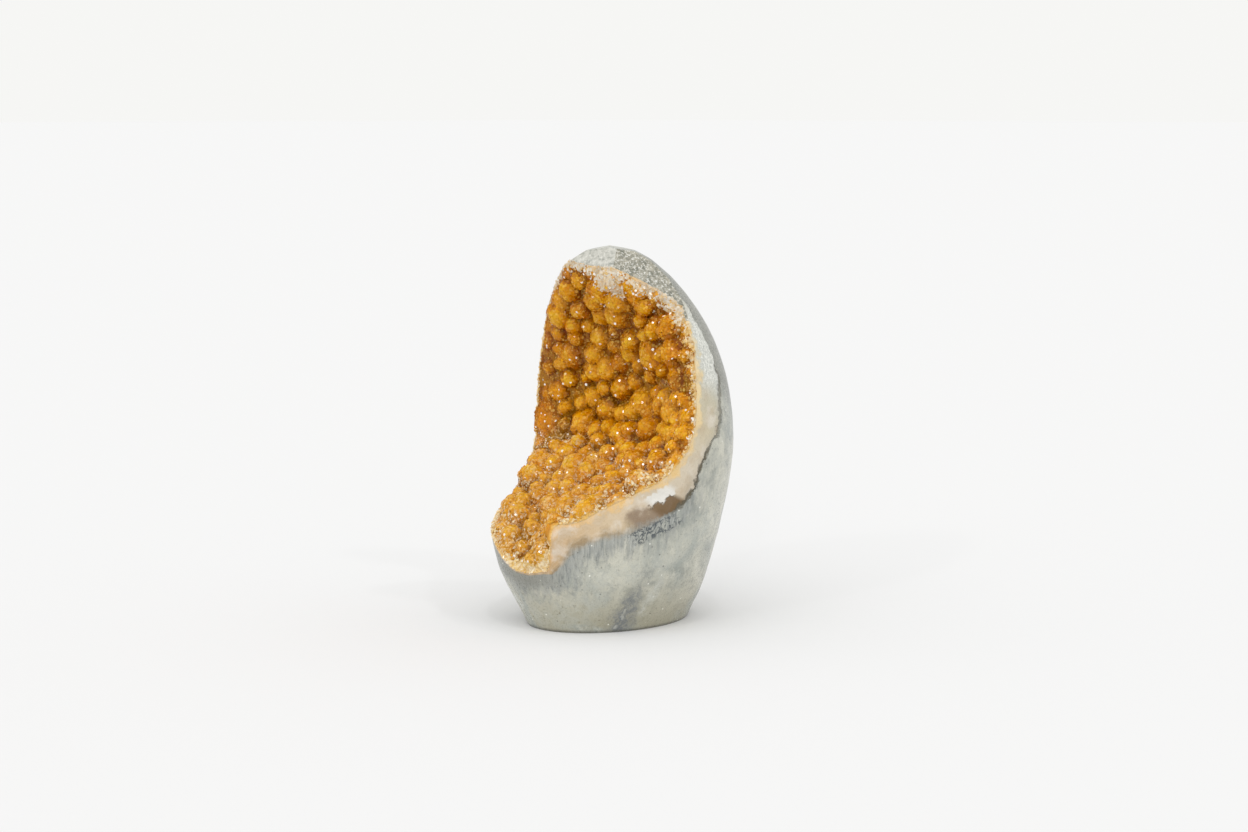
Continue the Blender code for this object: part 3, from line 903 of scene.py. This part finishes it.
@cache
def druse_surface(bulb_height):
    """The druse's botryoidal surface as a grid over the leaning plane, its rise and its tints."""
    skin = skin_of_egg()
    t, x = np.meshgrid(
        np.linspace(PLANE_LOW, PLANE_HIGH, BED_ROWS + 1),
        np.linspace(-HALF_PLANE, HALF_PLANE, BED_COLUMNS + 1),
        indexing="ij",
    )
    x, t = x.ravel(), t.ravel()
    points, depth = under_bulbs(skin, x, t)
    grid = points.reshape(-1, BED_COLUMNS + 1, 3)
    normal = np.cross(np.gradient(grid, axis=1), np.gradient(grid, axis=0)).reshape(-1, 3)
    normal /= np.linalg.norm(normal, axis=1, keepdims=True)
    table = bulb_table(skin, bulb_height / MM)
    middles = under_bulbs(skin, table[:, 0], table[:, 1])[0]
    high, rise, tint = bulb_relief(points, table, middles)
    knobs, fine = noise_at(points, KNOB_SIZE), noise_at(points, FINE_KNOB_SIZE)
    relief = high + (0.35 * knobs + 0.12 * fine) * eased((depth + 1) / 5)
    # What would stand out of the polished skin is pressed back.
    for _ in range(3):
        proud = 0.5 - skin_depths(skin, points + normal * relief[:, None])
        relief -= np.where(depth > 0.5, np.clip(proud * 1.3, 0, np.maximum(relief, 0)), 0)
    # The rise that paints the quartz goes up and down with the knobs and drops in the deep places:
    # painted light on the knobs, painted shade in the deep places.
    rise = np.clip(rise + 0.2 * knobs - 0.5 * marked(DEEP_PLACES, x, t), 0, 1)
    return skin, points + normal * relief[:, None], rise, tint


def make_stone(settings):
    stone = new_object("geode_stone_polished", egg(*FINE_EGG))
    cutter = new_object("floor_cutter", front_of_floor(0))
    combined(stone, cutter, "DIFFERENCE")
    bpy.data.objects.remove(cutter)
    mesh = stone.data
    points = coordinates(mesh.vertices)
    gap, turn = nearest_rim(points)
    around = np.vstack([AGATE_WIDTH + (degrees, 0) for degrees in (-360, 0, 360)])
    width = smoothed(around, 1, turn, AGATE_BLEND)
    rim_place = (points[:, 0], up_the_plane(points) - HUB, gap)
    set_attribute(mesh, "rim_place", np.stack(rim_place, axis=1))
    set_attribute(mesh, "agate_band", gap / width)
    set_attribute(mesh, "agate_width", width)
    normals = coordinates(mesh.polygons, "normal")
    face = np.zeros(len(normals))
    for mark, which in ((1, WHITE_FACE), (2, SPECKLED_FACE)):
        direction = np.array(GROUND_FACES[which][1])
        face[normals @ (direction / np.linalg.norm(direction)) > SAME_WAY] = mark
    set_attribute(mesh, "ground_face", face, "FACE")
    finished(stone, stone_finish(settings), ("geode_stone",))
    mesh.set_sharp_from_angle(angle=SHARP_EDGE)


def finished(piece, material, nodes):
    """The piece in its place, with its finish, shaded smooth and given to the part."""
    centred(piece.data)
    # A Boolean leaves an empty slot.
    piece.data.materials.clear()
    piece.data.materials.append(material)
    piece.data.shade_smooth()
    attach(piece, "root")
    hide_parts(*nodes)


def make_bed(settings):
    _, surface, rise, tint = druse_surface(settings.bulb_height)
    bed = new_object("druse_bed", sheet(BED_COLUMNS, BED_ROWS, lambda x, t: surface, BED_BEHIND))
    shape = new_object("egg_shape", egg(*FINE_EGG))
    front = new_object("front_of_floor", front_of_floor(BED_GAP))
    for helper in (shape, front):
        combined(bed, helper, "INTERSECT")
        bpy.data.objects.remove(helper)
    mesh = bed.data
    tree = tree_of(surface)
    points = coordinates(mesh.vertices)
    which = [tree.find(point)[1] for point in points]
    gap, _ = nearest_rim(points)
    set_attribute(mesh, "rise", rise[which])
    set_attribute(mesh, "tint", tint[which])
    set_attribute(mesh, "edge", 0.75 * rim_paleness(points, gap))
    finished(bed, bed_finish(settings), ("crystal_crust",))


def rim_paleness(points, gap):
    """1 where the crystals are whitish: beside the rim and in a few patches."""
    x, t = points[:, 0], up_the_plane(points)
    wide = column(PALE_WIDTH, 1, rim_direction(x, t))
    wavy = noise_at(points, PALE_WAVES)
    return np.maximum(1 - eased(gap / wide + 0.5 * wavy), marked(WHITE_PLACES, x, t))


def point_template():
    """One six-sided quartz point, a unit wide and a unit high, foot below the ground."""
    bm = bmesh.new()
    bmesh.ops.create_cone(bm, cap_ends=True, segments=6, radius1=0.5, radius2=0, depth=1)
    bmesh.ops.translate(bm, verts=bm.verts, vec=(0, 0, 0.5))
    bmesh.ops.remove_doubles(bm, verts=bm.verts, dist=1e-5)
    bmesh.ops.triangulate(bm, faces=bm.faces)
    return bm


def scattered(settings):
    """Where the quartz points stand: place, direction up, rise, tint and depth in the stone."""
    skin, surface, rise, tint = druse_surface(settings.bulb_height)
    grid = surface.reshape(-1, BED_COLUMNS + 1, 3)
    a, b, c, d = grid[:-1, :-1], grid[:-1, 1:], grid[1:, :-1], grid[1:, 1:]
    cross = np.cross(c - b, d - a)
    long = np.linalg.norm(cross, axis=-1)
    normal = cross / np.maximum(long, 1e-9)[..., None]
    chance = np.random.default_rng(SCATTER_SEED)
    share = long / 2 / settings.point_area + chance.random(long.shape)
    number = np.floor(share).astype(int) * in_egg((a + b + c + d) / 4, 0.5)
    index = np.repeat(np.arange(number.size), number.ravel())
    u, v = chance.random((2, len(index), 1))
    flat = [part.reshape(-1, 3)[index] for part in (a, b, c, d)]
    at = (flat[0] * (1 - u) + flat[1] * u) * (1 - v) + (flat[2] * (1 - u) + flat[3] * u) * v
    inside = skin_depths(skin, at)
    kept = inside > -0.1
    near = np.arange(rise.size).reshape(grid.shape[:2])[:-1, :-1].ravel()[index]
    up = normal.reshape(-1, 3)[index]
    return tuple(part[kept] for part in (at, up, rise[near], tint[near], inside))


def make_points(settings):
    at, up, rise, tint, inside = scattered(settings)
    total = len(at)
    chance = np.random.default_rng(POINT_SEED)
    gap, _ = nearest_rim(at)
    tone = chance.random(total)
    spread = np.exp(np.clip(chance.normal(0, 0.36, total), -1, 0.4))
    width = settings.point_width / MM * spread
    height = width * chance.uniform(0.45, 0.95, total)
    mirrors = tone > MIRROR
    width = np.where(mirrors, chance.uniform(0.55, 0.85, total), width)
    height = np.where(mirrors, width * 0.9, height)
    paleness = rim_paleness(at, gap)
    edge = np.where(paleness > chance.uniform(0, 0.9, total), 0.55 + 0.45 * tone, 0.25 * paleness)
    width = np.where(edge > 0.75, width * 1.12, width)
    # They are finer along the left rim, which is seen edge on.
    left = eased((15 - gap) / 12) * (at[:, 0] < -20) * np.where(at[:, 2] > 55, 1, 0.7)
    width, height = width * (1 - 0.3 * left), height * (1 - 0.5 * left)
    height = np.minimum(height, np.maximum(inside, 0.2) * 1.1)

    # Each point's own three directions: its length, and two across it, turned at random.
    axis = up + chance.normal(0, 0.16, (total, 3))
    axis /= np.linalg.norm(axis, axis=1, keepdims=True)
    helper = np.where(np.abs(axis[:, 2:3]) < 0.9, (0, 0, 1), (1, 0, 0))
    first = np.cross(axis, helper)
    first /= np.linalg.norm(first, axis=1, keepdims=True)
    second = np.cross(axis, first)
    spin = chance.uniform(0, math.tau, total)[:, None]
    first, second = (
        first * np.cos(spin) + second * np.sin(spin),
        second * np.cos(spin) - first * np.sin(spin),
    )
    wide = FLARED * width[:, None]
    upward = axis * height[:, None]
    frames = np.stack((first * wide, second * wide, upward * (1 + BURIED)), axis=1)
    foot = at - upward * BURIED

    bm = point_template()
    shape = np.array([vertex.co for vertex in bm.verts])
    faces = np.array([[vertex.index for vertex in face.verts] for face in bm.faces])
    bm.free()
    finish = point_finish(settings)
    # Neighbours stay in one piece: the hollow is shared out by height.
    order = np.argsort(at[:, 2], kind="stable")
    for count, members in enumerate(np.array_split(order, settings.point_pieces), 1):
        skewed = shape[None].repeat(len(members), axis=0)
        skewed[..., :2] += chance.normal(0, 0.10, (len(members), 1, 2)) * shape[:, 2:]
        places = foot[members, None] + skewed @ frames[members]
        piece = joined_copies(f"druse_points_{count}", places, faces)
        for name, values in (("rise", rise), ("edge", edge), ("tint", tint), ("tone", tone)):
            set_attribute(piece.data, name, np.repeat(values[members], len(shape)))
        finished(piece, finish, ("crystal_crust",))
        piece.data.shade_flat()


def joined_copies(name, places, faces):
    """One object from many placed copies of a triangulated template."""
    copies, each = places.shape[:2]
    corners = (faces[None] + each * np.arange(copies)[:, None, None]).reshape(-1, 3)
    mesh = bpy.data.meshes.new(name)
    mesh.vertices.add(copies * each)
    mesh.vertices.foreach_set("co", places.ravel())
    mesh.loops.add(corners.size)
    mesh.loops.foreach_set("vertex_index", corners.ravel().astype(np.int32))
    mesh.polygons.add(len(corners))
    mesh.polygons.foreach_set("loop_start", np.arange(0, corners.size, 3, dtype=np.int32))
    mesh.update(calc_edges=True)
    return linked(name, mesh)


def toward(azimuth, elevation):
    """The direction of something seen at these degrees round from the front and up."""
    a, e = math.radians(azimuth), math.radians(elevation)
    return Vector((math.sin(a) * math.cos(e), -math.cos(a) * math.cos(e), math.sin(e)))


def make_stage(settings):
    bm = bmesh.new()
    bmesh.ops.create_circle(bm, cap_ends=True, segments=64, radius=FLOOR_RADIUS)
    floor = new_object("studio_floor", bm)
    f = Finish("studio_floor_paper")
    f.set(Base_Color=settings.floor_colour, Roughness=1, Specular_IOR_Level=0)
    floor.data.materials.append(f.material)

    world = bpy.data.worlds.new("studio")
    bpy.context.scene.world = world
    world.use_nodes = True
    background = world.node_tree.nodes["Background"]
    background.inputs["Color"].default_value = colour(ROOM_COLOUR)
    background.inputs["Strength"].default_value = ROOM_STRENGTH

    lights = {"key": (*KEY_PLACE, settings.key_strength, KEY_WIDE)}
    lights |= {f"spark_{side}": (*spark, SPARK_WIDE) for side, spark in SPARKS.items()}
    for name, (azimuth, elevation, strength, wide) in lights.items():
        lamp = bpy.data.lights.new(name, "SUN")
        lamp.energy = strength
        lamp.angle = math.radians(wide)
        made = linked(name, lamp)
        made.rotation_euler = toward(azimuth, elevation).to_track_quat("Z", "Y").to_euler()
    make_camera()
    bpy.context.scene.view_settings.view_transform = "Standard"


def make_camera():
    """Eye level a little above the middle of the stone, from its front right."""
    wide, tall = PICTURE
    back = toward(*EYE_PLACE)
    right = Vector((0, 0, 1)).cross(back).normalized()
    up = back.cross(right)
    aim = Vector((0, 0, HUB)) - right * (HUB_PIXEL[0] - wide / 2) * PIXEL
    aim += up * (HUB_PIXEL[1] - tall / 2) * PIXEL
    data = bpy.data.cameras.new("camera")
    data.lens, data.sensor_width, data.clip_end = LENS, FILM, 50
    camera = linked("camera", data)
    camera.location = (aim + back * (LENS / FILM * wide * PIXEL)) * MM
    camera.rotation_euler = back.to_track_quat("Z", "Y").to_euler()
    bpy.context.scene.camera = camera


# ---------------- add-on


def colour_property(name, description, code):
    limits = {"size": 4, "subtype": "COLOR", "min": 0.0, "max": 1.0}
    return FloatVectorProperty(name=name, description=description, default=colour(code), **limits)


def length_property(name, description, middling, least):
    lengths = {"default": middling * MM, "min": least * MM, "unit": "LENGTH"}
    return FloatProperty(name=name, description=description, subtype="DISTANCE", **lengths)


class StoneSettings(bpy.types.PropertyGroup):
    rock_dark: colour_property("Dark rock", "Colour of the basalt's darker clouds", "969B94")
    rock: colour_property("Rock", "Colour of most of the basalt", "B0B1A6")
    rock_pale: colour_property("Pale rock", "Colour of the basalt's paler clouds", "CECCBE")
    crack: colour_property("Crack", "Colour of the seam round the agate", "5C543F")


class DruseSettings(bpy.types.PropertyGroup):
    # The recess and dome-top colours are painted shade in the recesses and painted light on the
    # domes.
    deep: colour_property("Recesses", "Colour of the quartz between the domes", "683200")
    amber: colour_property("Quartz", "Colour of most of the quartz", "C87C00")
    bright: colour_property("Dome tops", "Colour of the quartz on the domes' tops", "FFC420")
    rim_colour: colour_property("Rim", "Colour of the whitish quartz at the rim", "FFF1D2")
    bulb_height: length_property("Dome height", "How high a middling dome stands", 4.6, 0.0)
    point_width: length_property("Point width", "Middling width of a quartz point", 0.62, 0.3)
    point_area: FloatProperty(
        name="Area per point", description="Square millimetres to each point", default=0.3, min=0.2
    )
    point_pieces: IntProperty(
        name="Pieces", description="Pieces the points are shared out between", default=4, min=1
    )


class StageSettings(bpy.types.PropertyGroup):
    floor_colour: colour_property("Floor", "Colour of the studio's floor", "E5E5E6")
    key_strength: FloatProperty(
        name="Key light", description="Strength of the main light", default=0.55, min=0.0
    )


class GEODE_OT_stone(bpy.types.Operator):
    """Make the polished stone with its agate rim"""

    bl_idname = "geode.stone"
    bl_label = "Stone"

    def execute(self, context):
        make_stone(context.scene.geode_stone)
        return {"FINISHED"}


class GEODE_OT_bed(bpy.types.Operator):
    """Make the druse's bed, domed like a bunch of grapes"""

    bl_idname = "geode.bed"
    bl_label = "Druse bed"

    def execute(self, context):
        make_bed(context.scene.geode_druse)
        return {"FINISHED"}


class GEODE_OT_points(bpy.types.Operator):
    """Make the quartz points that cover the bed"""

    bl_idname = "geode.points"
    bl_label = "Quartz points"

    def execute(self, context):
        make_points(context.scene.geode_druse)
        return {"FINISHED"}


class GEODE_OT_stage(bpy.types.Operator):
    """Make the floor, the lights and the camera"""

    bl_idname = "geode.stage"
    bl_label = "Stage"

    def execute(self, context):
        make_stage(context.scene.geode_stage)
        return {"FINISHED"}


GROUPS = {"geode_stone": StoneSettings, "geode_druse": DruseSettings, "geode_stage": StageSettings}
OPERATORS = (GEODE_OT_stone, GEODE_OT_bed, GEODE_OT_points, GEODE_OT_stage)


class GEODE_PT_panel(bpy.types.Panel):
    bl_label = "Geode"
    bl_idname = "GEODE_PT_panel"
    bl_space_type = "VIEW_3D"
    bl_region_type = "UI"
    bl_category = "Geode"

    def draw(self, context):
        for group, kind in GROUPS.items():
            for name in kind.__annotations__:
                self.layout.prop(getattr(context.scene, group), name)
        for operator in OPERATORS:
            self.layout.operator(operator.bl_idname)


CLASSES = (*GROUPS.values(), *OPERATORS, GEODE_PT_panel)


def register():
    for kind in CLASSES:
        bpy.utils.register_class(kind)
    for name, kind in GROUPS.items():
        setattr(bpy.types.Scene, name, PointerProperty(type=kind))


def unregister():
    for name in GROUPS:
        delattr(bpy.types.Scene, name)
    for kind in reversed(CLASSES):
        bpy.utils.unregister_class(kind)


def main():
    register()
    bpy.ops.geode.stone()
    bpy.ops.geode.bed()
    bpy.ops.geode.points()
    bpy.ops.geode.stage()


if __name__ == "__main__":
    main()
